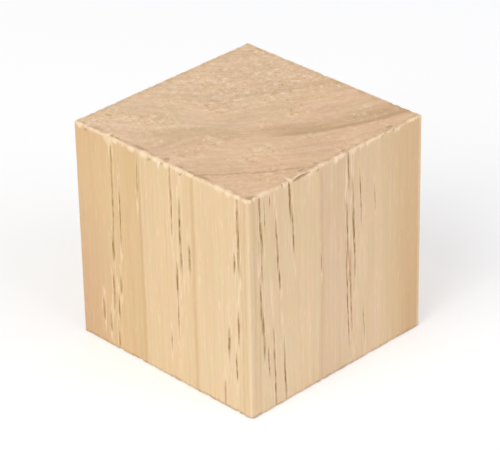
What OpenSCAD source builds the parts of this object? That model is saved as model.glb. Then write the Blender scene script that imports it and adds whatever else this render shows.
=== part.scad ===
// Wooden cube: a softwood block crosscut from planed square stock.
// The grain runs along Z, so the top and the base are sawn end grain and the
// four sides are planed long grain. Millimetres, +Z up, with the origin at
// the centre of the base. The front faces -Y and the right side faces +X.

/* [Block] */
// Width of the stock along X, across its planed left and right sides
block_w = 40; // [20:1:100]
// Depth of the stock along Y, across its planed front and back
block_d = 40; // [20:1:100]
// Length that the stock is crosscut to, along the grain
block_h = 40; // [20:1:100]

/* [Arrises] */
// Radius of the four long-grain arrises, eased as the stock is planed
long_arris_r = 0.5; // [0.2:0.1:3]
// Radius of the eight end-grain arrises, where the saw's burr is rubbed off
end_arris_r = 0.3; // [0.2:0.1:3]
// Length lost from each edge at the knocked corner, low at the front right
knock = 0.8; // [0.4:0.1:4]

/* [Chips at the top of the front] */
// Distances of the chips from the front right corner
front_chip_at = [7, 20, 32]; // [1:0.5:100]
// Widths of the chips along the arris
front_chip_w = [1.4, 1.8, 2.6]; // [0.6:0.1:6]
// Bites of the chips into the end grain, past the eased arris
front_chip_bite = [0.15, 0.2, 0.35]; // [0.05:0.05:1.2]
// Lengths of the chips down the grain
front_chip_run = [0.9, 1.3, 1.8]; // [0.5:0.1:8]

/* [Chips at the top of the right side] */
// Distances of the chips from the front right corner
right_chip_at = [13.5, 19.5, 27]; // [1:0.5:100]
// Widths of the chips along the arris
right_chip_w = [3.2, 1.4, 1.6]; // [0.6:0.1:6]
// Bites of the chips into the end grain, past the eased arris
right_chip_bite = [0.25, 0.15, 0.2]; // [0.05:0.05:1.2]
// Lengths of the chips down the grain
right_chip_run = [0.8, 0.9, 0.8]; // [0.5:0.1:8]

/* [Split at the first chip on the right] */
// Length of the split along the arris, half of it to each side of the chip's front edge
split_length = 4.2; // [2:0.1:8]
// Height of the gap
split_gap = 0.15; // [0.1:0.05:0.3]
// Depth of the split into the wood, at its middle
split_depth = 0.5; // [0.3:0.05:0.8]
// Distance from the eased arris down to the middle of the gap
split_drop = 0.1; // [0.1:0.05:0.5]

/* [Hidden] */
// Facets on a quarter-round arris and on a chip's scoop
$fn = 64;
// Angle between a cube's body diagonal and its edges
diagonal_angle = acos(1 / sqrt(3));
// Turn about Z that points +X along the front right diagonal
front_right_turn = -45;

// A square section with its four corners rounded, centred on the origin
module eased_section(width, height, radius) {
    square([width - 2 * radius, height], center = true);
    square([width, height - 2 * radius], center = true);
    for (x_side = [-1, 1], y_side = [-1, 1])
        translate([x_side * (width / 2 - radius), y_side * (height / 2 - radius)])
            circle(r = radius);
}

// The planed stock: a square prism along Z with eased long-grain arrises
module planed_stock() {
    linear_extrude(height = block_h)
        eased_section(block_w, block_d, long_arris_r);
}

// What the rub-down leaves of the end-grain arrises along X
module end_arrises_along_x() {
    translate([-block_w / 2, 0, block_h / 2])
        rotate([90, 0, 90])
            linear_extrude(height = block_w)
                eased_section(block_d, block_h, end_arris_r);
}

// What the rub-down leaves of the end-grain arrises along Y
module end_arrises_along_y() {
    translate([0, block_d / 2, block_h / 2])
        rotate([90, 0, 0])
            linear_extrude(height = block_d)
                eased_section(block_w, block_h, end_arris_r);
}

// The piece that a knock takes off a corner at the origin: a slab that lies
// square to the corner's body diagonal and cuts each edge at the knock's length
module knocked_tip() {
    slab = 4 * knock;
    rotate([0, 0, front_right_turn])
        rotate([0, 180 - diagonal_angle, 0])
            translate([-slab, -slab, -knock / sqrt(3)])
                cube([2 * slab, 2 * slab, slab]);
}

// A splinter that the saw's exit tears out of a side in the plane y = 0, with
// the wood at +Y, the sharp arris along X and the grain along Z. It is a round
// scoop. Its bottom line starts behind the eased arris, by the bite, and comes
// out of the side a run further down the grain. Its radius is that of a circle
// whose chord is the width and whose rise is the depth.
module splinter(width, bite, run) {
    depth = end_arris_r + bite;
    scoop_r = (width * width / 4 + depth * depth) / (2 * depth);
    lean = atan2(depth, run);
    translate([0, depth, 0])
        rotate([-lean, 0, 0])
            translate([0, -scoop_r, -2 * run])
                cylinder(r = scoop_r, h = 3 * run);
}

// Splinters torn from the top of the front, measured from its right end
module front_splinters() {
    for (i = [0 : len(front_chip_at) - 1])
        translate([block_w / 2 - front_chip_at[i], -block_d / 2, block_h])
            splinter(front_chip_w[i], front_chip_bite[i], front_chip_run[i]);
}

// Splinters torn from the top of the right side, measured from its front end
module right_splinters() {
    for (i = [0 : len(right_chip_at) - 1])
        translate([block_w / 2, right_chip_at[i] - block_d / 2, block_h])
            rotate([0, 0, 90])
                splinter(right_chip_w[i], right_chip_bite[i], right_chip_run[i]);
}

// The split at the front edge of the first chip on the right, under a burr that
// still holds. It is a level slot with a round bottom, as a thin disc would cut
// it. The disc's radius is that of a circle whose chord is the split's length
// and whose rise is its depth.
module arris_split() {
    disc_r = (split_length * split_length / 4 + split_depth * split_depth) / (2 * split_depth);
    middle_y = right_chip_at[0] - right_chip_w[0] / 2 - block_d / 2;
    middle_z = block_h - end_arris_r - split_drop;
    translate([block_w / 2 - split_depth + disc_r, middle_y, middle_z])
        cylinder(r = disc_r, h = split_gap, center = true);
}

// The whole block, one piece of wood
module wooden_cube() {
    color([0.86, 0.74, 0.59])
        difference() {
            intersection() {
                planed_stock();
                end_arrises_along_x();
                end_arrises_along_y();
            }
            translate([block_w / 2, -block_d / 2, 0])
                knocked_tip();
            front_splinters();
            right_splinters();
            arris_split();
        }
}

wooden_cube();
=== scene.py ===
"""Looks of the wooden cube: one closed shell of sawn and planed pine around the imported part."""
import math

import bpy
import numpy as np
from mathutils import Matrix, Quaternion, Vector


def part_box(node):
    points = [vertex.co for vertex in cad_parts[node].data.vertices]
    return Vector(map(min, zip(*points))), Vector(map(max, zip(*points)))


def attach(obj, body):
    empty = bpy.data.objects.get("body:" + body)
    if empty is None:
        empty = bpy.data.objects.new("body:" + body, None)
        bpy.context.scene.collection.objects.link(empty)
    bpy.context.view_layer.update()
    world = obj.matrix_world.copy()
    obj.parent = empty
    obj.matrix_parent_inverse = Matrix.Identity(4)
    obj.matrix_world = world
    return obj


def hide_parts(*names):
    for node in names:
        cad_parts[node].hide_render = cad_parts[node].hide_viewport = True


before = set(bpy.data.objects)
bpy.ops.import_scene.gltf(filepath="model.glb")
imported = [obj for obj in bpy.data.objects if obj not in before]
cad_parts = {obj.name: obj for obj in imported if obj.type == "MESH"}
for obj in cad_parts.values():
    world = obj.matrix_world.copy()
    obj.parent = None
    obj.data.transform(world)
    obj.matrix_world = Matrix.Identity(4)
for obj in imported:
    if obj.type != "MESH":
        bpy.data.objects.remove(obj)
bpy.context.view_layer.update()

NODE = "wooden_cube"
MM = 0.001

# ---- Sizes, in millimetres -------------------------------------------------------------------

BOX_LOW, BOX_HIGH = (np.array(corner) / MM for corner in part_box(NODE))
SIDE = BOX_HIGH - BOX_LOW
HALF = SIDE / 2
CENTRE = (BOX_LOW + BOX_HIGH) / 2
TOP = BOX_HIGH[2]

# The shell's skin starts this far inside the part's box, which leaves room for what stands proud
SKIN_INSET = 0.03
LONG_ARRIS_R = 0.32
END_ARRIS_R = 0.28
# How much of their radius the end-grain arrises gain or lose where they are ragged
ARRIS_RAGGED = 0.4
KNOCK = 0.8
# Points within this margin of an edge fan out from an inner core, so that they follow the arris
CORE_MARGIN = 1.5
# How often the search for the wood's skin halves its interval
CARVE_STEPS = 18
# Where the shell's rows of points lie near an edge, then a second, wider set along the grain only
EDGE_ROWS = (0, 0.05, 0.1, 0.16, 0.23, 0.29, 0.33, 0.38, 0.43, 0.49, 0.58, 0.76, 1.0, 1.3)
GRAIN_ROWS = (1.52, 1.74, 1.96, 2.2, 2.5)
ACROSS_CELLS = 142
ALONG_CELLS = 26

# How deep the marks on the sawn ends go, and how far latewood stands proud of them
SAWN_DEPTH = 0.03
FUZZ_PIT_DEPTH = 0.045
STIPPLE_DEPTH = 0.014
SAW_LINE_DEPTH = 0.008
LATEWOOD_PROUD = 0.02
# The saw's lines: how far apart they are, and their slant as a rise for each millimetre across
SAW_LINE_PITCH = 1.7
SAW_LINE_SLANT = 0.35
# How deep the planed sides lie, and how deep their fibres and ripples go
PLANED_DEPTH = 0.02
FIBRE_DEPTH = 0.008
RIPPLE_DEPTH = 0.008

# Chips that the saw left at the top of the front: distance from the right end, width, bite, run
FRONT_CHIPS = (
    (7.0, 1.4, 0.15, 0.9),
    (20.0, 1.8, 0.2, 1.3),
    (32.0, 2.6, 0.35, 1.8),
)
# Chips at the top of the right side: distance from the front end, width, bite, run
RIGHT_CHIPS = (
    (13.5, 3.2, 0.25, 0.8),
    (19.5, 1.4, 0.15, 0.9),
    (27.0, 1.6, 0.2, 0.8),
)
# Small chips: how many on each end-grain arris, the least and most of their widths, bites and
# runs, and how much less they bite at the base
SMALL_CHIPS = 30
SMALL_CHIP_WIDTHS = (0.5, 1.9)
SMALL_CHIP_BITES = (-0.16, 0.16)
SMALL_CHIP_RUNS = (0.35, 1.1)
BASE_CHIP_EASE = 0.07
CHIP_SEED = 11
# The split at the front edge of the first chip on the right: its middle's distance from the front
# end, its drop below the top, then its size
SPLIT_AT = 11.9
SPLIT_DROP = 0.4
SPLIT_LENGTH = 4.2
SPLIT_GAP = 0.15
SPLIT_DEPTH = 0.5

# ---- The tree's growth, in millimetres --------------------------------------------------------

PITH = (-48.0, 36.0)
THIRD_RING = 67.7
FOURTH_RING = 79.0
# Each ring's outer radius, the width of its latewood, and how dark that is: its soft inner part on
# the sawn ends, its crisp outer line on the sawn ends, and both together on the planed sides
RINGS = (
    (38.5, 2.0, 0.1, 0.1, 0.3),
    (52.3, 2.4, 0.7, 0.1, 0.3),
    (THIRD_RING, 4.6, 1.0, 0.35, 0.7),
    (FOURTH_RING, 2.4, 0.5, 1.0, 0.65),
    (86.9, 0.6, 0.2, 0.5, 0.5),
    (87.6, 0.5, 0.2, 0.5, 0.5),
)
# How gently a ring's latewood ends at its outer radius
RING_EDGE = 0.25
# Places where the rings swell or shrink: x, y, reach, and how much is added to the radius there
RING_SWELLS = (
    (-1.6, -9.6, 4.2, 2.4),
    (-5.0, -21.0, 6.0, -3.2),
    (-6.0, -1.6, 5.0, -2.6),
)

# Paler growth on the sawn ends: radius and half width
PALE_GROWTH = (
    (50.6, 0.9),
    (62.5, 1.0),
    (73.3, 0.8),
)
# Places where the latewood fades on the sawn ends: x, y and reach
RING_FADES = (
    (-7.6, 3.3, 4.0),
)

# Resin streaks: distance across the face from its left edge, top and bottom below the top face,
# and width
FRONT_STREAKS = (
    (8.8, 1.3, 5.6, 0.33),
    (8.6, 4.1, 19.0, 0.35),
    (8.3, 18.5, 22.8, 0.5),
    (10.3, 9.7, 18.8, 0.29),
    (7.9, 25.9, 31.8, 0.5),
    (9.7, 25.7, 28.6, 0.4),
    (5.3, 31.9, 35.2, 0.4),
    (6.9, 33.9, 36.8, 0.4),
    (9.1, 29.9, 33.6, 0.37),
    (8.8, 36.7, 39.4, 0.33),
    (14.8, 1.3, 8.0, 0.2),
    (22.4, -1.2, 6.8, 0.4),
    (22.6, 5.3, 11.8, 0.33),
    (24.4, 6.3, 18.6, 0.52),
    (26.4, 13.3, 17.6, 0.44),
    (23.4, 17.9, 23.2, 0.44),
    (23.5, 21.7, 30.8, 0.22),
    (21.7, 31.3, 34.4, 0.2),
    (37.6, -0.6, 12.6, 0.52),
    (36.6, 10.5, 13.8, 0.35),
    (37.3, 21.7, 26.4, 0.44),
    (35.1, 24.9, 30.2, 0.5),
    (36.7, 29.1, 33.6, 0.31),
    (34.0, 35.3, 39.8, 0.42),
)
RIGHT_STREAKS = (
    (2.6, -1.2, 10.2, 0.4),
    (2.8, 4.7, 10.0, 0.45),
    (2.8, 9.1, 15.0, 0.28),
    (2.6, 16.5, 24.4, 0.38),
    (3.0, 20.7, 29.4, 0.45),
    (4.1, 27.9, 33.2, 0.3),
    (5.4, 25.9, 39.6, 0.38),
    (7.7, 29.7, 40.0, 0.37),
    (6.3, 6.5, 14.6, 0.38),
    (6.7, 15.1, 18.2, 0.34),
    (9.2, -1.2, 6.8, 0.45),
    (9.8, 5.3, 13.0, 0.34),
    (22.4, -1.2, 6.4, 0.38),
    (25.4, 4.5, 14.2, 0.24),
    (22.3, 9.5, 18.4, 0.34),
    (23.8, 7.7, 21.8, 0.42),
    (22.4, 17.7, 35.8, 0.3),
    (23.2, 20.3, 32.2, 0.34),
    (26.2, 30.3, 36.6, 0.18),
    (28.8, 9.1, 12.6, 0.14),
    (16.1, 16.1, 19.0, 0.16),
    (3.6, 1.6, 6.8, 0.16),
    (4.7, 1.0, 2.8, 0.16),
)
# Pale tufts of torn fibre over the top arris: distance across the face from its left edge, width,
# how far they hang down the face, and how far they reach in over the top
FRONT_TUFTS = (
    (1.3, 1.5, 0.8, 0.4),
    (4.0, 1.2, 0.5, 0.3),
    (5.6, 2.2, 0.35, 0.4),
    (7.9, 0.6, 0.3, 1.5),
    (8.3, 1.0, 1.6, 0.5),
    (9.6, 1.9, 0.7, 0.5),
    (13.6, 2.0, 0.8, 0.4),
    (16.3, 2.1, 0.85, 0.7),
    (19.2, 1.5, 0.6, 0.6),
    (19.9, 0.7, 1.45, 0.4),
    (21.6, 1.1, 0.95, 0.3),
    (24.2, 2.6, 0.55, 0.5),
    (27.2, 3.0, 0.5, 0.4),
    (33.3, 1.8, 0.7, 0.9),
    (35.4, 1.4, 0.8, 0.6),
    (37.4, 1.5, 0.5, 0.5),
    (39.2, 1.2, 0.6, 0.5),
)
RIGHT_TUFTS = (
    (0.4, 0.7, 0.6, 0.4),
    (1.4, 0.7, 0.5, 0.4),
    (3.4, 2.8, 0.35, 1.0),
    (8.1, 0.7, 0.9, 0.5),
    (9.5, 0.7, 0.5, 1.2),
    (11.8, 3.0, 0.25, 0.8),
    (13.2, 3.0, 1.1, 0.1),
    (16.3, 2.8, 0.3, 0.6),
    (19.7, 1.3, 1.0, 0.5),
    (21.0, 1.6, 0.6, 0.4),
    (23.8, 1.4, 0.9, 0.3),
    (25.6, 1.4, 0.5, 0.4),
    (28.2, 2.6, 0.3, 0.4),
    (29.8, 0.9, 0.4, 0.4),
    (32.4, 2.6, 0.12, 0.5),
    (34.3, 0.8, 0.8, 0.2),
    (37.6, 2.8, 0.3, 0.6),
)
# Dark torn spots beside the top arris: distance across the face from its left edge, width, then the
# place and half height of the spot, measured down the face or, if the place is below zero, in over
# the top
FRONT_PITS = (
    (2.9, 0.9, 0.8, 0.3),
    (8.5, 0.9, -0.9, 0.4),
    (9.8, 1.2, -0.75, 0.3),
    (15.0, 3.4, -1.0, 0.4),
    (17.7, 0.7, 0.8, 0.25),
    (20.5, 0.7, 0.6, 0.3),
    (20.8, 1.2, -1.2, 0.6),
    (24.3, 0.8, -0.8, 0.35),
    (24.9, 0.8, 0.75, 0.2),
    (26.6, 1.6, -0.8, 0.3),
    (29.4, 2.4, -0.9, 0.4),
    (39.4, 0.9, -0.9, 0.4),
)
RIGHT_PITS = (
    (0.9, 1.9, -0.9, 0.25),
    (7.6, 0.5, 0.1, 0.3),
    (12.9, 1.3, -1.3, 0.3),
    (15.5, 0.6, 0.7, 0.2),
    (16.2, 1.0, -1.2, 0.4),
    (22.6, 1.6, -1.0, 0.4),
    (30.5, 0.5, 0.35, 0.2),
    (31.5, 1.1, 0.15, 0.15),
    (33.2, 0.8, 0.3, 0.2),
    (34.1, 0.6, 0.1, 0.25),
    (33.2, 1.4, -1.2, 0.3),
)
# The hidden sides' streaks: how many on each, the middles of the bands that they keep to, how far
# they stray from those, and the least and most of their half lengths and widths
HIDDEN_STREAKS = 14
HIDDEN_BANDS = (6.5, 19.0, 31.5)
HIDDEN_STRAY = 2.4
HIDDEN_HALF_LENGTHS = (1.2, 5.5)
HIDDEN_WIDTHS = (0.22, 0.42)
STREAK_SEED = 23
# How far a streak, and a dark torn spot, reach into the wood
STREAK_REACH = 1.0
PIT_REACH = 0.5
# How far each streak on the right side drifts back on its way down, in millimetres a millimetre
STREAK_DRIFT = 0.04

# ---- Colours ---------------------------------------------------------------------------------


def screen(red, green, blue):
    """A colour as a screen shows it, 0 to 255, turned into the linear colour that shaders use."""
    parts = np.array((red, green, blue)) / 255
    linear = np.where(parts <= 0.04045, parts / 12.92, ((parts + 0.055) / 1.055) ** 2.4)
    return tuple(float(part) for part in linear) + (1.0,)


# The planed sides
PALE_WOOD = screen(236, 205, 161)
WARM_WOOD = screen(231, 197, 149)
FRESH_WOOD = screen(237, 208, 167)
SIDE_LATEWOOD = screen(204, 163, 112)
# Painted shade with warm bounced light from a neighbouring cube, for the front's left edge
TAN_SHADE = screen(217, 175, 134)
PINK_PATCH = screen(228, 194, 160)
# Painted shade with warm bounced light from a neighbouring cube, for the right side's back edge
AMBER_SHADE = screen(219, 180, 132)
RUST_PATCH = screen(216, 168, 126)
# The sawn ends
END_LEFT = screen(230, 198, 161)
END_RIGHT = screen(227, 190, 152)
PALE_BAND = screen(244, 216, 184)
END_LATEWOOD = screen(188, 154, 114)
PALE_FLECK = screen(248, 220, 192)
DARK_FLECK = screen(200, 164, 122)
# Resin streaks, torn fibres with a painted highlight, and the dark lines, some of them painted shade
RESIN = screen(158, 120, 60)
STREAK_FLANK = screen(252, 224, 189)
TORN_FIBRE_AND_HIGHLIGHT = screen(255, 229, 194)
TORN_SPOT = screen(178, 143, 106)
ARRIS_LINE = screen(190, 156, 120)
# Painted shade under the base arris, with some of its rougher sawn edge
FOOT_SHADE = screen(168, 132, 96)
# Painted shadow in the split
SPLIT_SHADOW = screen(166, 130, 94)
# How red, green and blue change together where the wood blushes or turns olive
SIDE_BLUSH = (0.11, -0.04, 0.03)
END_BLUSH = (0.14, -0.04, 0.09)
OLIVE = (0.0, 0.06, -0.16)

# ---- Smooth noise on arrays of points --------------------------------------------------------

# Moves every point to where the lattice's numbers are positive
LATTICE_SHIFT = 1000


def smooth_noise(points, patch, seed):
    """Noise from -1 to 1: seeded random numbers at the corners of a lattice whose cells are patch
    millimetres wide, blended between a cell's eight corners with weights t * t * (3 - 2 * t)."""
    draw = np.random.default_rng(seed)
    order = draw.permutation(256)
    values = draw.uniform(-1, 1, 256)
    scaled = points / np.array(patch) + LATTICE_SHIFT
    cell = np.floor(scaled).astype(int)
    weight = scaled - cell
    weight = weight * weight * (3 - 2 * weight)
    total = np.zeros(len(points))
    for corner in np.ndindex(2, 2, 2):
        spot = cell + corner
        share = np.prod(np.where(corner, weight, 1 - weight), axis=1)
        pick = order[spot[:, 0] & 255]
        pick = order[(pick + spot[:, 1]) & 255]
        pick = order[(pick + spot[:, 2]) & 255]
        total += share * values[pick]
    return total


def ramp_between(values, low, high):
    """0 below low, 1 above high, and t * t * (3 - 2 * t) in between."""
    t = np.clip((values - low) / (high - low), 0, 1)
    return t * t * (3 - 2 * t)


# ---- The shell's shape -----------------------------------------------------------------------


def row_places(length, edge_rows, middle_cells):
    """Places of the rows of points along one side: the edge rows at both ends, even between."""
    edge = np.array(edge_rows)
    middle = np.linspace(edge[-1], length - edge[-1], middle_cells + 1)[1:-1]
    return np.concatenate((edge, middle, length - edge[::-1]))


def sharp_box():
    """The sharp box's surface as a welded grid: a lattice of rows along X, Y and Z keeps only its
    outermost points, and each face takes its four-sided cells from one outer layer."""
    across_x = BOX_LOW[0] + row_places(SIDE[0], EDGE_ROWS, ACROSS_CELLS)
    across_y = BOX_LOW[1] + row_places(SIDE[1], EDGE_ROWS, ACROSS_CELLS)
    along_z = BOX_LOW[2] + row_places(SIDE[2], EDGE_ROWS + GRAIN_ROWS, ALONG_CELLS)
    shape = (len(across_x), len(across_y), len(along_z))
    outer = np.zeros(shape, bool)
    for axis in range(3):
        layers = np.moveaxis(outer, axis, 0)
        layers[0] = True
        layers[-1] = True
    number = np.full(shape, -1)
    number[outer] = np.arange(outer.sum())
    i, j, k = np.nonzero(outer)
    points = np.stack((across_x[i], across_y[j], along_z[k]), axis=1)
    faces = []
    for axis in range(3):
        layers = np.moveaxis(number, axis, 0)
        for layer, outward in ((layers[-1], axis != 1), (layers[0], axis == 1)):
            corners = (layer[:-1, :-1], layer[1:, :-1], layer[1:, 1:], layer[:-1, 1:])
            cells = np.stack(corners, axis=-1).reshape(-1, 4)
            faces.append(cells if outward else cells[:, ::-1])
    return points, np.concatenate(faces)


def rounded_section(first, second, radius):
    """Signed distance to a rectangle with rounded corners. first and second are how far a point
    lies outside the two pairs of straight sides."""
    u = first + radius
    v = second + radius
    outside = np.hypot(np.maximum(u, 0), np.maximum(v, 0))
    return outside + np.minimum(np.maximum(u, v), 0) - radius


def block_depth(points, relief, end_radius):
    """How far points lie outside the eased block: the largest of the distances to its three
    rounded sections, along X, Y and Z, plus the relief that lowers the skin."""
    past = np.abs(points - CENTRE) - HALF
    planed = rounded_section(past[:, 0], past[:, 1], LONG_ARRIS_R)
    sawn_x = rounded_section(past[:, 1], past[:, 2], end_radius)
    sawn_y = rounded_section(past[:, 0], past[:, 2], end_radius)
    return np.maximum(np.maximum(planed, sawn_x), sawn_y) + relief


def knock_depth(points):
    """How far points lie past the plane that cuts the low front right corner's three edges."""
    corner = np.array((BOX_HIGH[0], BOX_LOW[1], BOX_LOW[2]))
    outward = np.array((1, -1, -1)) / math.sqrt(3)
    return (points - corner) @ outward + KNOCK / math.sqrt(3)


def arrises():
    """The eight end-grain arrises: the face's axis and side, and 1 for the top or -1 for the base."""
    return [(axis, side, end) for end in (1, -1) for axis in (0, 1) for side in (1, -1)]


def chip_list():
    """Every chip as its arris, its place along that arris, width, bite and run: the large ones at
    their own places, then small ones, one drawn within each even step of every end-grain arris."""
    chips = []
    for at, width, bite, run in FRONT_CHIPS:
        chips.append(((1, -1, 1), BOX_HIGH[0] - at, width, bite, run))
    for at, width, bite, run in RIGHT_CHIPS:
        chips.append(((0, 1, 1), BOX_LOW[1] + at, width, bite, run))
    draw = np.random.default_rng(CHIP_SEED)
    for arris in arrises():
        along = 1 - arris[0]
        step = SIDE[along] / SMALL_CHIPS
        ease = 0.0 if arris[2] > 0 else BASE_CHIP_EASE
        for i in range(SMALL_CHIPS):
            at = BOX_LOW[along] + (i + draw.uniform(0.1, 0.9)) * step
            width = draw.uniform(*SMALL_CHIP_WIDTHS)
            bite = draw.uniform(*SMALL_CHIP_BITES) - ease
            run = draw.uniform(*SMALL_CHIP_RUNS)
            chips.append((arris, at, width, bite, run))
    return chips


def face_and_edge(arris):
    """Where an arris's face lies on its own axis, and where the arris lies along the grain."""
    axis, side, end = arris
    return CENTRE[axis] + side * SIDE[axis] / 2, CENTRE[2] + end * SIDE[2] / 2


def chip_depth(points, chip):
    """How far points lie inside a chip's scoop, a leaning cylinder. Its bottom line starts behind
    the eased arris by the bite and comes out of the face a run along the grain. Its radius is that
    of a circle whose chord is the width and whose rise is the depth."""
    arris, at, width, bite, run = chip
    axis, side, end = arris
    face, edge = face_and_edge(arris)
    depth = END_ARRIS_R + bite
    radius = (width * width / 4 + depth * depth) / (2 * depth)
    outside = (points[:, axis] - face) * side
    down = (edge - points[:, 2]) * end
    bottom = -depth * (1 - down / run)
    return radius - np.hypot(points[:, 1 - axis] - at, outside - bottom - radius)


def chip_reach(points, chip):
    """The numbers of the points that a chip can touch."""
    arris, at, width, _, run = chip
    axis = arris[0]
    face, edge = face_and_edge(arris)
    near = np.abs(points[:, 1 - axis] - at) < width
    near &= np.abs(points[:, axis] - face) < CORE_MARGIN * 2
    near &= np.abs(points[:, 2] - edge) < run + CORE_MARGIN
    return np.nonzero(near)[0]


def split_depth(points):
    """How far points lie inside the split, a level slot cut by a thin disc. The disc's radius is
    that of a circle whose chord is the length and whose rise is the depth."""
    radius = (SPLIT_LENGTH * SPLIT_LENGTH / 4 + SPLIT_DEPTH * SPLIT_DEPTH) / (2 * SPLIT_DEPTH)
    off_x = points[:, 0] - (BOX_HIGH[0] - SPLIT_DEPTH + radius)
    off_y = points[:, 1] - (BOX_LOW[1] + SPLIT_AT)
    off_z = np.abs(points[:, 2] - (TOP - SPLIT_DROP))
    return np.minimum(radius - np.hypot(off_x, off_y), SPLIT_GAP / 2 - off_z)


def end_share(points):
    """1 on the sawn ends and 0 on the planed sides, changing over across the arris."""
    past = np.abs(points - CENTRE) - HALF
    return ramp_between(past[:, 2] - np.maximum(past[:, 0], past[:, 1]), -0.1, 0.1)


def ring_radius(points):
    """Distance from the pith, swollen or shrunk near the places in RING_SWELLS by a bell curve."""
    radius = np.hypot(points[:, 0] - PITH[0], points[:, 1] - PITH[1])
    for x, y, reach, swell in RING_SWELLS:
        spot = np.hypot(points[:, 0] - x, points[:, 1] - y) / reach
        radius = radius + swell * np.exp(-spot * spot)
    return radius


def sawn_relief(points):
    """How far the skin of a sawn end lies below the inset: torn pits, a fine stipple and faint
    saw lines, which are sine waves across the end, less the latewood, which stands proud."""
    pits = ramp_between(smooth_noise(points, (0.7, 0.7, 4), seed=1), 0.1, 0.9)
    stipple = smooth_noise(points, (0.45, 0.45, 4), seed=2)
    slanted = points[:, 0] * SAW_LINE_SLANT + points[:, 1]
    saw_line = np.sin(slanted * 2 * math.pi / SAW_LINE_PITCH)
    saw_line = saw_line * (0.5 + 0.5 * smooth_noise(points, (9, 9, 9), seed=3))
    radius = ring_radius(points)
    late = np.zeros(len(points))
    for outer, width, strength, *_ in RINGS:
        inside = ramp_between(radius, outer - width, outer) * (radius < outer)
        late = np.maximum(late, inside * strength)
    marks = SAWN_DEPTH + FUZZ_PIT_DEPTH * pits + STIPPLE_DEPTH * stipple + SAW_LINE_DEPTH * saw_line
    return marks - LATEWOOD_PROUD * late


def planed_relief(points):
    """How far the skin of a planed side lies below the inset: fine fibres and shallow ripples,
    both drawn out along the grain."""
    fibre = smooth_noise(points, (0.8, 0.8, 22), seed=4)
    ripple = smooth_noise(points, (3.5, 3.5, 30), seed=5)
    return PLANED_DEPTH + FIBRE_DEPTH * fibre + RIPPLE_DEPTH * ripple


def skin_relief(points):
    """How far the skin lies below the box: the inset, plus the relief of the sawn ends or of the
    planed sides, which change over across the arris."""
    share = end_share(points)
    relief = share * sawn_relief(points) + (1 - share) * planed_relief(points)
    return SKIN_INSET + np.maximum(relief, 0)


def carved_shell():
    """The shell's points, its faces and how torn each point is. Each sharp point slides towards an
    inner core, the box less the margin, and halving the interval finds where it first meets the
    wood. A point is torn where a chip has taken it below the eased block."""
    points, faces = sharp_box()
    core = np.clip(points, BOX_LOW + CORE_MARGIN, BOX_HIGH - CORE_MARGIN)
    inward = core - points
    relief = skin_relief(points)
    ragged = smooth_noise(points, (1.1, 1.1, 1.1), seed=6)
    ragged = ragged + 0.6 * smooth_noise(points, (0.5, 0.5, 0.5), seed=7)
    end_radius = END_ARRIS_R * (1 + ARRIS_RAGGED * ragged)
    splintered = 0.05 * smooth_noise(points, (0.35, 0.35, 1.4), seed=8)
    chips = [(chip, chip_reach(points, chip)) for chip in chip_list()]

    def outside(share):
        """How far the points lie outside the wood once they have slid by their shares."""
        spots = points + inward * share[:, None]
        depth = np.maximum(block_depth(spots, relief, end_radius), knock_depth(spots))
        depth = np.maximum(depth, split_depth(spots))
        for chip, near in chips:
            scoop = chip_depth(spots[near], chip) + splintered[near]
            depth[near] = np.maximum(depth[near], scoop)
        return depth

    low = np.zeros(len(points))
    high = np.ones(len(points))
    for _ in range(CARVE_STEPS):
        middle = (low + high) / 2
        out = outside(middle) > 0
        low = np.where(out, middle, low)
        high = np.where(out, high, middle)
    spots = points + inward * high[:, None]
    torn = ramp_between(-block_depth(spots, relief, end_radius), 0.0, 0.12)
    return spots, faces, torn


def make_piece(name, points, faces, marks):
    """A smooth mesh object at the origin from points in millimetres, with its marks as attributes."""
    mesh = bpy.data.meshes.new(name)
    mesh.from_pydata((points * MM).tolist(), [], faces.tolist())
    mesh.polygons.foreach_set("use_smooth", np.ones(len(faces), bool))
    for mark, values in marks.items():
        attribute = mesh.attributes.new(mark, "FLOAT", "POINT")
        attribute.data.foreach_set("value", values.astype(np.float32))
    mesh.update()
    piece = bpy.data.objects.new(name, mesh)
    bpy.context.scene.collection.objects.link(piece)
    return piece


# ---- Shader nodes ----------------------------------------------------------------------------


class Graph:
    """The nodes of one material or world."""

    def __init__(self, owner):
        """Starts with no nodes."""
        owner.use_nodes = True
        self.tree = owner.node_tree
        self.tree.nodes.clear()

    def node(self, kind, settings=None, sockets=None, out=0):
        """A node of one kind: its settings first, then its sockets' values or links."""
        made = self.tree.nodes.new(kind)
        for name, value in (settings or {}).items():
            setattr(made, name, value)
        for name, value in (sockets or {}).items():
            if isinstance(value, Signal):
                self.tree.links.new(value.socket, made.inputs[name])
            else:
                made.inputs[name].default_value = value
        return Signal(self, made.outputs[out]) if made.outputs else made

    def vector(self, operation, *values, out=0):
        """A Vector Math node."""
        return self.node("ShaderNodeVectorMath", {"operation": operation}, dict(enumerate(values)), out)

    def join(self, x, y, z):
        """Three numbers as one place."""
        return self.node("ShaderNodeCombineXYZ", None, {0: x, 1: y, 2: z})

    def noise(self, where, sizes, detail=2.0, roughness=0.5):
        """Soft noise, 0 to 1, in patches of the given sizes along X, Y and Z."""
        stretched = self.vector("DIVIDE", where, sizes)
        sockets = {"Vector": stretched, "Scale": 1.0, "Detail": detail, "Roughness": roughness}
        return self.node("ShaderNodeTexNoise", None, sockets)

    def blend(self, share, first, second):
        """A colour between two, by share. A Mix node's colour sockets are its sixth and seventh."""
        settings = {"data_type": "RGBA", "blend_type": "MIX"}
        return self.node("ShaderNodeMix", settings, {0: share, 6: first, 7: second}, out=2)

    def shade(self, colour, amount, strengths):
        """A colour made lighter or darker: red, green and blue times 1 plus amount times their
        own strengths."""
        factor = self.vector("MULTIPLY_ADD", amount, strengths, (1, 1, 1))
        return self.vector("MULTIPLY", colour, factor)


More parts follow.
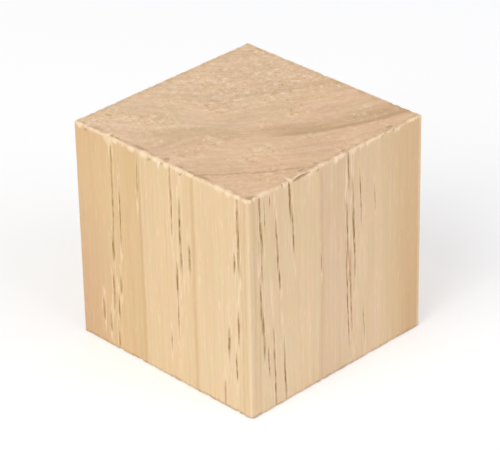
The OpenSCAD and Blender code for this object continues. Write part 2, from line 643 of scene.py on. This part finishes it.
class Signal:
    """One output socket. Arithmetic on it adds Math nodes."""

    def __init__(self, graph, socket):
        """Belongs to the graph that its nodes are added to."""
        self.graph = graph
        self.socket = socket

    def math(self, operation, *values):
        """A Math node."""
        return self.graph.node("ShaderNodeMath", {"operation": operation}, dict(enumerate(values)))

    def __add__(self, other):
        return self.math("ADD", self, other)

    __radd__ = __add__

    def __sub__(self, other):
        return self.math("SUBTRACT", self, other)

    def __rsub__(self, other):
        return self.math("SUBTRACT", other, self)

    def __mul__(self, other):
        return self.math("MULTIPLY", self, other)

    __rmul__ = __mul__

    def __truediv__(self, other):
        return self.math("DIVIDE", self, other)

    def size(self):
        """The number without its sign."""
        return self.math("ABSOLUTE", self)

    def root(self):
        """The square root."""
        return self.math("SQRT", self)

    def exp(self):
        """e to the power of the number."""
        return self.math("EXPONENT", self)

    def angle(self, other):
        """The angle whose tangent is this number over the other."""
        return self.math("ARCTAN2", self, other)

    def least(self, other):
        """The smaller of the two."""
        return self.math("MINIMUM", self, other)

    def most(self, other):
        """The larger of the two."""
        return self.math("MAXIMUM", self, other)

    def rise(self, low, high):
        """0 below low, 1 above high, smooth in between. With low above high it falls instead."""
        start, end = (0.0, 1.0) if low < high else (1.0, 0.0)
        sockets = {"Value": self, "From Min": min(low, high), "From Max": max(low, high)}
        sockets["To Min"] = start
        sockets["To Max"] = end
        return self.graph.node("ShaderNodeMapRange", {"interpolation_type": "SMOOTHSTEP"}, sockets)


# ---- Streaks, tufts and torn spots -----------------------------------------------------------


def streak_spindles():
    """Every resin streak as a spindle: its centre and its three half lengths, in millimetres. A
    spindle lies in its face and reaches a little into the wood. The hidden sides take turns, and
    each of their streaks is drawn within one of the bands."""
    spindles = []
    for across, top, bottom, width in FRONT_STREAKS:
        centre = (BOX_LOW[0] + across, BOX_LOW[1], TOP - (top + bottom) / 2)
        spindles.append((centre, (width / 2, STREAK_REACH, (bottom - top) / 2)))
    for across, top, bottom, width in RIGHT_STREAKS:
        height = TOP - (top + bottom) / 2
        leaned = across + (height - CENTRE[2]) * STREAK_DRIFT
        centre = (BOX_HIGH[0], BOX_LOW[1] + leaned, height)
        spindles.append((centre, (STREAK_REACH, width / 2, (bottom - top) / 2)))
    draw = np.random.default_rng(STREAK_SEED)
    for i in range(HIDDEN_STREAKS * 2):
        band = HIDDEN_BANDS[draw.integers(len(HIDDEN_BANDS))]
        across = band + draw.uniform(-HIDDEN_STRAY, HIDDEN_STRAY)
        half = draw.uniform(*HIDDEN_HALF_LENGTHS)
        height = draw.uniform(half, TOP - half)
        width = draw.uniform(*HIDDEN_WIDTHS)
        if i % 2:
            centre = (BOX_LOW[0] + across, BOX_HIGH[1], height)
            spindles.append((centre, (width / 2, STREAK_REACH, half)))
        else:
            centre = (BOX_LOW[0], BOX_LOW[1] + across, height)
            spindles.append((centre, (STREAK_REACH, width / 2, half)))
    return spindles


def tuft_spindles():
    """Every pale tuft as a spindle over the top arris of its face."""
    spindles = []
    for across, width, drop, inside in FRONT_TUFTS:
        spindles.append(((BOX_LOW[0] + across, BOX_LOW[1], TOP), (width / 2, inside, drop)))
    for across, width, drop, inside in RIGHT_TUFTS:
        spindles.append(((BOX_HIGH[0], BOX_LOW[1] + across, TOP), (inside, width / 2, drop)))
    return spindles


def pit_spindles():
    """Every dark torn spot as a spindle just under the top arris of its face or just inside it."""
    spindles = []
    for across, width, place, half in FRONT_PITS:
        inward, tall = (half, PIT_REACH) if place < 0 else (PIT_REACH, half)
        centre = (BOX_LOW[0] + across, BOX_LOW[1] + max(-place, 0), TOP - max(place, 0))
        spindles.append((centre, (width / 2, inward, tall)))
    for across, width, place, half in RIGHT_PITS:
        inward, tall = (half, PIT_REACH) if place < 0 else (PIT_REACH, half)
        centre = (BOX_HIGH[0] - max(-place, 0), BOX_LOW[1] + across, TOP - max(place, 0))
        spindles.append((centre, (inward, width / 2, tall)))
    return spindles


def spindle_distance(graph, place, spindles, blunt=False):
    """0 at the middle of the nearest spindle and 1 on its skin: the length of the way from the
    spindle's centre, each part of it divided by the spindle's half length that way. Blunt squares
    the parts first, which keeps the sides of the spindle straighter up to its ends."""
    nearest = None
    for centre, halves in spindles:
        scale = tuple(1 / half for half in halves)
        shift = tuple(-c / half for c, half in zip(centre, halves))
        way = graph.vector("MULTIPLY_ADD", place, scale, shift)
        if blunt:
            way = graph.vector("MULTIPLY", way, way)
        length = graph.vector("LENGTH", way, out="Value")
        nearest = length if nearest is None else nearest.least(length)
    return nearest


# ---- The growth rings ------------------------------------------------------------------------


def bell(x, y, spot):
    """1 at a spot, which is x, y and reach, and less away from it, by a bell curve: e to the power
    of minus the squared distance over the squared reach."""
    spot_x, spot_y, reach = spot
    off_x = x - spot_x
    off_y = y - spot_y
    return ((off_x * off_x + off_y * off_y) / (-reach * reach)).exp()


def strongest(so_far, signal):
    """The larger of two signals, or the only one if there is none so far."""
    return signal if so_far is None else so_far.most(signal)


class Wood(Graph):
    """The pine's nodes, with the signals that its parts share. All places are in millimetres."""

    def __init__(self, material):
        """Finds where a point lies on the block and among the rings, and makes the noises that
        fray and break up what is drawn on it."""
        super().__init__(material)
        coordinates = self.node("ShaderNodeTexCoord", out="Object")
        sockets = {0: coordinates, "Scale": 1 / MM}
        self.place = self.node("ShaderNodeVectorMath", {"operation": "SCALE"}, sockets)
        self.x, self.y, self.z = (
            self.node("ShaderNodeSeparateXYZ", None, {0: self.place}, axis) for axis in ("X", "Y", "Z")
        )
        # How far inside the nearest planed side and the nearest sawn end a point lies
        self.off_x = (self.x - CENTRE[0]).size()
        self.off_y = (self.y - CENTRE[1]).size()
        self.from_side = HALF[0] - self.off_x.most(self.off_y)
        self.from_end = HALF[2] - (self.z - CENTRE[2]).size()
        self.sawn = (self.from_side - self.from_end).rise(-0.08, 0.08)
        self.planed = 1 - self.sawn
        self.thread = self.noise(self.place, (0.16, 0.16, 2.4), 2.0, 0.6) - 0.5
        self.fray = self.noise(self.place, (0.2, 0.2, 2.6), 2.0, 0.6) - 0.5
        self.ragged = self.noise(self.place, (0.9, 0.9, 0.6), 3.0, 0.6) - 0.5
        self.broken = self.noise(self.place, (1.6, 1.6, 2), 2.0)
        self.find_rings()

    def find_rings(self):
        """Where a point lies among the growth rings: its distance from the pith, which wanders and
        swells, its place on the rings, then the latewood's soft part and crisp line on the sawn
        ends and its strength on the planed sides. Each ring's latewood ends at its outer radius."""
        slow = self.noise(self.place, (9, 9, 60)) - 0.5
        quick = self.noise(self.place, (1.4, 1.4, 30)) - 0.5
        away_x = self.x - PITH[0]
        away_y = self.y - PITH[1]
        radius = (away_x * away_x + away_y * away_y).root() + (slow * 1.3 + quick * 0.6)
        for *spot, swell in RING_SWELLS:
            radius = radius + swell * bell(self.x, self.y, spot)
        soft = crisp = late = None
        for outer, width, soft_share, crisp_share, side_share in RINGS:
            within = radius.rise(outer + RING_EDGE, outer - RING_EDGE)
            body = radius.rise(outer - width, outer - width * 0.65) * within
            line = radius.rise(outer - 0.7, outer - 0.2) * radius.rise(outer + RING_EDGE, outer - 0.1)
            side = (radius.rise(outer - width * 0.8, outer) * 0.4 + line * 0.6) * within
            soft = strongest(soft, body * soft_share)
            crisp = strongest(crisp, line * crisp_share)
            late = strongest(late, side * side_share)
        self.radius = radius
        self.grown = self.join(radius, away_x.angle(away_y) * THIRD_RING, self.z)
        self.soft = soft
        self.crisp = crisp
        self.late = late


# ---- The wood --------------------------------------------------------------------------------


def side_patches(wood):
    """The planed sides' colour before their fibres: pale wood, warmer inside the third ring,
    fresher towards the right and darker in the latewood. Over that lie painted shade with warm
    bounced light from neighbouring cubes down the front's left edge and down the right side's back
    edge, both stronger towards the base, a pink patch just inside the fourth ring on the right and a
    rusty one in the middle of the right side."""
    x, y, z, radius = wood.x, wood.y, wood.z, wood.radius
    inside_third = radius.rise(THIRD_RING + 0.05, THIRD_RING - 0.35)
    colour = wood.blend(inside_third, PALE_WOOD, WARM_WOOD)
    colour = wood.blend(x.rise(2, 16) * 0.6, colour, FRESH_WOOD)
    colour = wood.blend(wood.late * 0.6, colour, SIDE_LATEWOOD)
    # Painted shade with warm bounced light from a neighbouring cube down the front's left edge,
    # stronger low
    left_edge_shade = x.rise(-10, -19) * y.rise(-12, -19) * (0.35 + 0.65 * z.rise(36, 4))
    colour = wood.blend(left_edge_shade * 0.75, colour, TAN_SHADE)
    inside_fourth = radius.rise(FOURTH_RING + 0.05, FOURTH_RING - 0.15) * radius.rise(70, 78)
    colour = wood.blend(inside_fourth * x.rise(12, 19) * 0.5, colour, PINK_PATCH)
    # Painted shade with warm bounced light from a neighbouring cube down the right side's back edge,
    # stronger low
    back_edge_shade = y.rise(9, 18) * x.rise(12, 19)
    colour = wood.blend(back_edge_shade * (0.95 - z / TOP * 0.4), colour, AMBER_SHADE)
    across = y - BOX_LOW[1]
    rust = x.rise(BOX_HIGH[0] - 1, BOX_HIGH[0] - 0.5) * across.rise(21.4, 22.6)
    rust = rust * across.rise(24.2, 23.2) * z.rise(12, 17) * z.rise(25, 20)
    return wood.blend(rust * 0.55, colour, RUST_PATCH)


def long_grain(wood):
    """The planed sides: their patches of colour, with slow changes of hue, stripes that follow the
    rings, fine fibres and lines along Z, soft clouds, painted floor light that makes them lighter and
    bluer towards the base, and short pale flecks. Gives the colour and the height of the fibres."""
    place = wood.place
    stripe = wood.noise(wood.grown, (0.8, 18, 90), 3.0, 0.6) - 0.5
    fibre = wood.noise(place, (0.3, 0.3, 11), 3.0, 0.6) - 0.5
    line = wood.noise(place, (0.9, 0.9, 40), 2.0, 0.5) - 0.5
    cloud = wood.noise(place, (9, 9, 22), 2.0) - 0.5
    blush = wood.noise(place, (2.6, 2.6, 8), 3.0, 0.6) - 0.5
    olive = wood.noise(place, (2.0, 2.0, 6), 3.0, 0.6) - 0.5
    fleck = wood.noise(place, (0.3, 0.3, 3.0), 3.0, 0.6).rise(0.54, 0.72)
    colour = side_patches(wood)
    colour = wood.shade(colour, blush, SIDE_BLUSH)
    colour = wood.shade(colour, olive, OLIVE)
    colour = wood.shade(colour, stripe, (0.08, 0.11, 0.16))
    colour = wood.shade(colour, fibre, (0.12, 0.17, 0.25))
    colour = wood.shade(colour, line, (0.07, 0.1, 0.14))
    colour = wood.shade(colour, cloud, (0.08, 0.11, 0.16))
    # Painted floor light: lighter and bluer towards the base, darker towards the top
    colour = wood.shade(colour, 0.5 - wood.z / TOP, (0.03, 0.055, 0.09))
    colour = wood.shade(colour, fleck, (0.09, 0.11, 0.15))
    return colour, fibre + line * 0.6 + stripe * 0.3


def end_rings(wood, colour):
    """The growth rings over a sawn end's colour: bands of paler growth, then the latewood. Its
    broad soft part is strongest at the back and towards the third ring's edge, and fades at
    RING_FADES. Its thin line is broken, and keeps to the back and to the outer rings. Gives the
    colour and how much broad latewood there is."""
    place, radius = wood.place, wood.radius
    faint = wood.noise(place, (5, 5, 30), 2.0).rise(0.3, 0.6)
    ribbon = wood.noise(wood.grown, (0.9, 9, 60), 3.0, 0.6).rise(0.3, 0.6)
    edge = radius.rise(66.0, 67.3) * (radius - 68).rise(0.2, -0.2)
    back = wood.y.rise(-4, 1.5)
    broad = wood.soft * (back * (0.27 + 0.2 * ribbon + 0.28 * edge) + (1 - back) * 0.28 * faint)
    for spot in RING_FADES:
        broad = broad * (1 - bell(wood.x, wood.y, spot) * 0.9)
    growth = None
    for middle, half in PALE_GROWTH:
        band = radius.rise(middle - half, middle) * radius.rise(middle + half, middle)
        growth = strongest(growth, band)
    colour = wood.blend(growth * faint * 0.35 * ribbon, colour, PALE_BAND)
    last = radius.rise(70, 75)
    snag = wood.noise(place, (1.3, 1.3, 30), 2.0, 0.6).rise(0.3, 0.55)
    thin = wood.crisp * (0.2 + 0.4 * faint + 0.3 * last)
    thin = thin * last.most(wood.y.rise(-3, 3)) * (0.35 + 0.65 * snag)
    return wood.blend(broad.most(thin), colour, END_LATEWOOD), broad


def end_grain(wood):
    """The sawn ends: greyer wood with soft clouds, layers and waves that follow the rings, slow
    changes of hue, the rings themselves, and a stipple of cut fibres with pale and dark flecks
    that is stronger in fuzzy patches. Gives the colour and the height of the fuzz."""
    place, grown, x, y = wood.place, wood.grown, wood.x, wood.y
    stipple = wood.noise(place, (0.55, 0.55, 3), 3.0, 0.7) - 0.5
    fleck = wood.noise(place, (1.2, 1.2, 4), 3.0, 0.65)
    fuzzy = x.rise(4, -6) * x.rise(-20, -15) * y.rise(-4, 3)
    patch = (wood.noise(place, (6, 6, 30), 1.0) + fuzzy * 0.22).rise(0.42, 0.68)
    layer = wood.noise(grown, (1.1, 10, 60), 3.0, 0.6) - 0.5
    wave = wood.noise(grown, (0.7, 4.5, 60), 2.0, 0.5) - 0.5
    cloud = wood.noise(grown, (5, 11, 30), 2.0) - 0.5
    blush = wood.noise(place, (8, 8, 30), 4.0, 0.6) - 0.5
    olive = wood.noise(place, (6, 6, 30), 4.0, 0.6) - 0.5
    colour = wood.blend(x.rise(-18, 18), END_LEFT, END_RIGHT)
    colour = wood.shade(colour, cloud, (0.26, 0.3, 0.34))
    colour = wood.shade(colour, layer, (0.27, 0.32, 0.37))
    colour = wood.shade(colour, wave, (0.16, 0.2, 0.26))
    colour = wood.shade(colour, blush, END_BLUSH)
    colour = wood.shade(colour, olive, OLIVE)
    colour, broad = end_rings(wood, colour)
    colour = wood.shade(colour, stipple * (0.5 + patch * 0.7), (0.42, 0.47, 0.54))
    pale = fleck.rise(0.53, 0.66) * (0.22 + patch * 0.6) * (1 - broad)
    colour = wood.blend(pale, colour, PALE_FLECK)
    dark = fleck.rise(0.45, 0.3) * (0.28 + patch * 0.45)
    colour = wood.blend(dark, colour, DARK_FLECK)
    return colour, stipple + fleck * 0.8


def resin_streaks(wood, colour):
    """The resin streaks over the planed sides' colour, with pale hairs beside them. The streaks
    drift with the grain, fine threads fray their edges, and they are weaker where a noise breaks
    them. Gives the colour and how much streak there is."""
    place = wood.place
    drift_x = (wood.noise(place, (5, 5, 9), 1.0) - 0.5) * 0.6
    drift_y = (wood.noise(place, (4, 6, 8), 1.0) - 0.5) * 0.6 + (wood.z - CENTRE[2]) * STREAK_DRIFT
    leaned = wood.join(wood.x + drift_x, wood.y + drift_y, wood.z)
    whole = wood.noise(place, (0.8, 0.8, 2.2), 2.0, 0.6).rise(0.34, 0.56)
    hair = wood.noise(place, (0.32, 0.32, 3.2), 2.0, 0.5).rise(0.46, 0.62)
    distance = spindle_distance(wood, leaned, streak_spindles(), blunt=True) + wood.thread * 3.4
    flank = distance.rise(1.5, 2.3) * distance.rise(9.0, 4.0) * hair * wood.planed
    colour = wood.blend(flank * 0.7, colour, STREAK_FLANK)
    streak = (distance.rise(1.7, 0.7) * 0.5 + distance.rise(0.7, 0.05) * 0.5 * whole) * wood.planed
    streak = streak * (0.6 + 0.4 * whole)
    return wood.blend(streak, colour, RESIN), streak


def torn_arrises(wood, colour):
    """Torn arrises over a colour. Fibres are pale along the top's rim, in the tufts that hang over
    it and in the chips, a faint painted highlight lies along the vertical arrises, stronger down the
    right side's back one, and dark spots lie beside the rim. Gives the colour and how much pale fibre
    and painted highlight there is."""
    x, ragged, fray = wood.x, wood.ragged, wood.fray
    frayed = wood.join(x + ragged * 0.6, wood.y + ragged * 0.6, wood.z + fray * 1.6 + ragged * 0.3)
    torn = wood.node("ShaderNodeAttribute", {"attribute_name": "torn"}, out="Fac")
    tuft = (spindle_distance(wood, frayed, tuft_spindles()) + fray * 1.6).rise(1.5, 0.6)
    rim = (wood.from_end + ragged * 0.4 + fray * 1.6).rise(0.55, 0.1) * wood.z.rise(TOP / 2, TOP)
    rim = rim * (wood.from_side + ragged * 0.7).rise(0.55, 0.15)
    rim = rim * (0.7 - 0.2 * x.rise(10, 15)) * wood.broken.rise(0.32, 0.5)
    beside = wood.off_x.least(wood.off_y) + ragged * 0.4
    # Painted highlight along the vertical arrises, faint at the near one and stronger at the right
    # side's back one
    upright_highlight = beside.rise(HALF[0] - 0.6, HALF[0] - 0.35) * 0.12 * x.rise(-15, -10)
    far_right_highlight = x.rise(10, 15) * wood.y.rise(0, 10)
    upright_highlight = upright_highlight + beside.rise(HALF[0] - 0.9, HALF[0] - 0.5) * far_right_highlight * 0.35
    pale = rim.most(tuft * 0.9).most(torn * 0.5).most(upright_highlight)
    wisp = wood.noise(wood.place, (0.3, 0.3, 0.9), 3.0, 0.65).rise(0.25, 0.6)
    colour = wood.blend(pale * (0.6 + 0.4 * wisp), colour, TORN_FIBRE_AND_HIGHLIGHT)
    pit = (spindle_distance(wood, frayed, pit_spindles()) + ragged * 1.2).rise(1.25, 0.6)
    return wood.blend(pit * 0.6, colour, TORN_SPOT), pale


def dark_lines(wood, colour, pale):
    """Darker lines over a colour: a broken one just inside the sawn ends' arrises, where no fibre or
    highlight is pale, a broken painted shade round the base of the planed sides, with some of their
    rougher sawn edge, and a painted shadow in the split. Gives the colour and how much split there is."""
    ragged = wood.ragged
    inset = wood.from_side + ragged * 0.8
    inside = inset.rise(0.35, 0.6) * inset.rise(1.3, 0.8)
    inside = inside * wood.sawn * (1 - pale) * wood.broken.rise(0.6, 0.4)
    colour = wood.blend(inside * 0.4, colour, ARRIS_LINE)
    # Painted shade under the base arris, with some of its rougher sawn edge
    foot_shade = (wood.z + ragged * 0.9).rise(0.75, 0.25) * (0.4 + 0.6 * wood.broken.rise(0.4, 0.6))
    foot_shade = foot_shade * wood.planed
    colour = wood.blend(foot_shade * 0.55, colour, FOOT_SHADE)
    # Painted shadow along the split, over the carved slot
    centre = (BOX_HIGH[0], BOX_LOW[1] + SPLIT_AT, TOP - SPLIT_DROP)
    halves = (SPLIT_DEPTH + 0.1, SPLIT_LENGTH / 2, SPLIT_GAP)
    waved = wood.join(wood.x, wood.y, wood.z + ragged * 0.5)
    split = spindle_distance(wood, waved, [(centre, halves)], blunt=True)
    split = (split + wood.thread).rise(1.3, 0.5)
    return wood.blend(split * 0.5, colour, SPLIT_SHADOW), split


def wood_material():
    """Pine, as one solid pattern in millimetres through the whole block. Sawn wood is rougher than
    planed, and resin smoother. The bump is the fuzz or the fibres, less the streaks and the split."""
    material = bpy.data.materials.new("pine")
    wood = Wood(material)
    planed_colour, planed_height = long_grain(wood)
    sawn_colour, sawn_height = end_grain(wood)
    colour = wood.blend(wood.sawn, planed_colour, sawn_colour)
    colour, streak = resin_streaks(wood, colour)
    colour, pale = torn_arrises(wood, colour)
    colour, split = dark_lines(wood, colour, pale)
    height = wood.sawn * sawn_height + wood.planed * (planed_height * 0.4) - streak * 0.5 - split
    bump = wood.node("ShaderNodeBump", None, {"Strength": 0.6, "Distance": 0.12 * MM, "Height": height})
    roughness = 0.62 + wood.sawn * 0.14 - streak * 0.1
    sockets = {"Base Color": colour, "Roughness": roughness, "Normal": bump, "Specular IOR Level": 0.35}
    shader = wood.node("ShaderNodeBsdfPrincipled", None, sockets)
    wood.node("ShaderNodeOutputMaterial", None, {0: shader})
    return material


# ---- Floor, light and camera, in metres and degrees ------------------------------------------

FLOOR_REACH = 4.0
FLOOR_WHITE = screen(238, 238, 238)
FLOOR_GLOW = (0.26, 0.26, 0.26, 1)
BLACK = (0, 0, 0, 1)
WHITE = (1, 1, 1, 1)
# How strongly the surroundings light the cube
SKY_STRENGTH = 0.52
LAMP_DISTANCE = 0.9
# Each lamp's name, azimuth, elevation, width, watts and colour
LAMPS = (
    ("key", 5, 42, 0.7, 3.7, (1.0, 0.99, 0.98)),
    ("fill", 100, 35, 0.8, 2.27, (0.835, 0.858, 1.0)),
)
CAMERA_AZIMUTH = 45.5
CAMERA_ELEVATION = 29.4
CAMERA_DISTANCE = 0.446
CAMERA_LENS = 194
CAMERA_SENSOR = 36
CAMERA_NEAR = 0.01
CAMERA_FAR = 20
CAMERA_ROLL = -1.15


def seen_straight(graph):
    """1 for what the camera sees itself, in a reflection or through glass."""
    camera = graph.node("ShaderNodeLightPath", out="Is Camera Ray")
    glossy = graph.node("ShaderNodeLightPath", out="Is Glossy Ray")
    through = graph.node("ShaderNodeLightPath", out="Is Transmission Ray")
    return camera.most(glossy).most(through)


def make_floor():
    """A plain pale floor far wider than the view. It glows a little where it is seen straight,
    which brings it to white and leaves the shadow."""
    reach = FLOOR_REACH
    corners = [(-reach, -reach, 0), (reach, -reach, 0), (reach, reach, 0), (-reach, reach, 0)]
    mesh = bpy.data.meshes.new("floor")
    mesh.from_pydata(corners, [], [(0, 1, 2, 3)])
    floor = bpy.data.objects.new("floor", mesh)
    bpy.context.scene.collection.objects.link(floor)
    material = bpy.data.materials.new("pale_floor")
    graph = Graph(material)
    glow = graph.blend(seen_straight(graph), BLACK, FLOOR_GLOW)
    sockets = {"Base Color": FLOOR_WHITE, "Roughness": 0.9, "Specular IOR Level": 0.1}
    sockets["Emission Color"] = glow
    sockets["Emission Strength"] = 1.0
    shader = graph.node("ShaderNodeBsdfPrincipled", None, sockets)
    graph.node("ShaderNodeOutputMaterial", None, {0: shader})
    mesh.materials.append(material)


def make_world():
    """Even pale light from all round, and a white backdrop for what is seen straight."""
    world = bpy.data.worlds.new("studio")
    graph = Graph(world)
    lit = graph.node("ShaderNodeBackground", None, {"Color": WHITE, "Strength": SKY_STRENGTH})
    white = graph.node("ShaderNodeBackground", None, {"Color": WHITE, "Strength": 1.0})
    mixed = graph.node("ShaderNodeMixShader", None, {0: seen_straight(graph), 1: lit, 2: white})
    graph.node("ShaderNodeOutputWorld", None, {0: mixed})
    bpy.context.scene.world = world


def aim(thing, place, target, roll=0.0):
    """Puts a lamp or camera at a place, looking at the target, rolled by some degrees."""
    thing.location = place
    thing.rotation_mode = "QUATERNION"
    turn = (Vector(target) - Vector(place)).to_track_quat("-Z", "Y")
    thing.rotation_quaternion = turn @ Quaternion((0, 0, 1), math.radians(roll))


def round_about(azimuth, elevation, distance, target):
    """The place at a distance from the target. Azimuth 0 is in front, at -Y, and 90 is at +X."""
    a = math.radians(azimuth)
    e = math.radians(elevation)
    way = (math.sin(a) * math.cos(e), -math.cos(a) * math.cos(e), math.sin(e))
    return tuple(t + distance * w for t, w in zip(target, way))


def make_lamp(name, azimuth, elevation, width, watts, colour):
    """A round soft lamp at the lamps' distance from the cube's middle, looking at it."""
    lamp = bpy.data.lights.new(name, "AREA")
    lamp.shape = "DISK"
    lamp.size = width
    lamp.energy = watts
    lamp.color = colour
    thing = bpy.data.objects.new(name, lamp)
    bpy.context.scene.collection.objects.link(thing)
    target = tuple(CENTRE * MM)
    aim(thing, round_about(azimuth, elevation, LAMP_DISTANCE, target), target)


def make_camera():
    """The camera, looking at the cube's middle from the front right and above."""
    data = bpy.data.cameras.new("camera")
    data.lens = CAMERA_LENS
    data.sensor_width = CAMERA_SENSOR
    data.clip_start = CAMERA_NEAR
    data.clip_end = CAMERA_FAR
    camera = bpy.data.objects.new("camera", data)
    bpy.context.scene.collection.objects.link(camera)
    target = tuple(CENTRE * MM)
    place = round_about(CAMERA_AZIMUTH, CAMERA_ELEVATION, CAMERA_DISTANCE, target)
    aim(camera, place, target, CAMERA_ROLL)
    bpy.context.scene.camera = camera


# ---- Putting it together ---------------------------------------------------------------------

make_camera()
make_world()
make_floor()
for lamp_facts in LAMPS:
    make_lamp(*lamp_facts)

spots, faces, torn = carved_shell()
cube = make_piece("pine_cube", spots, faces, {"torn": torn})
cube.data.materials.append(wood_material())
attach(cube, "root")
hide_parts(NODE)

bpy.context.scene.view_settings.view_transform = "Standard"
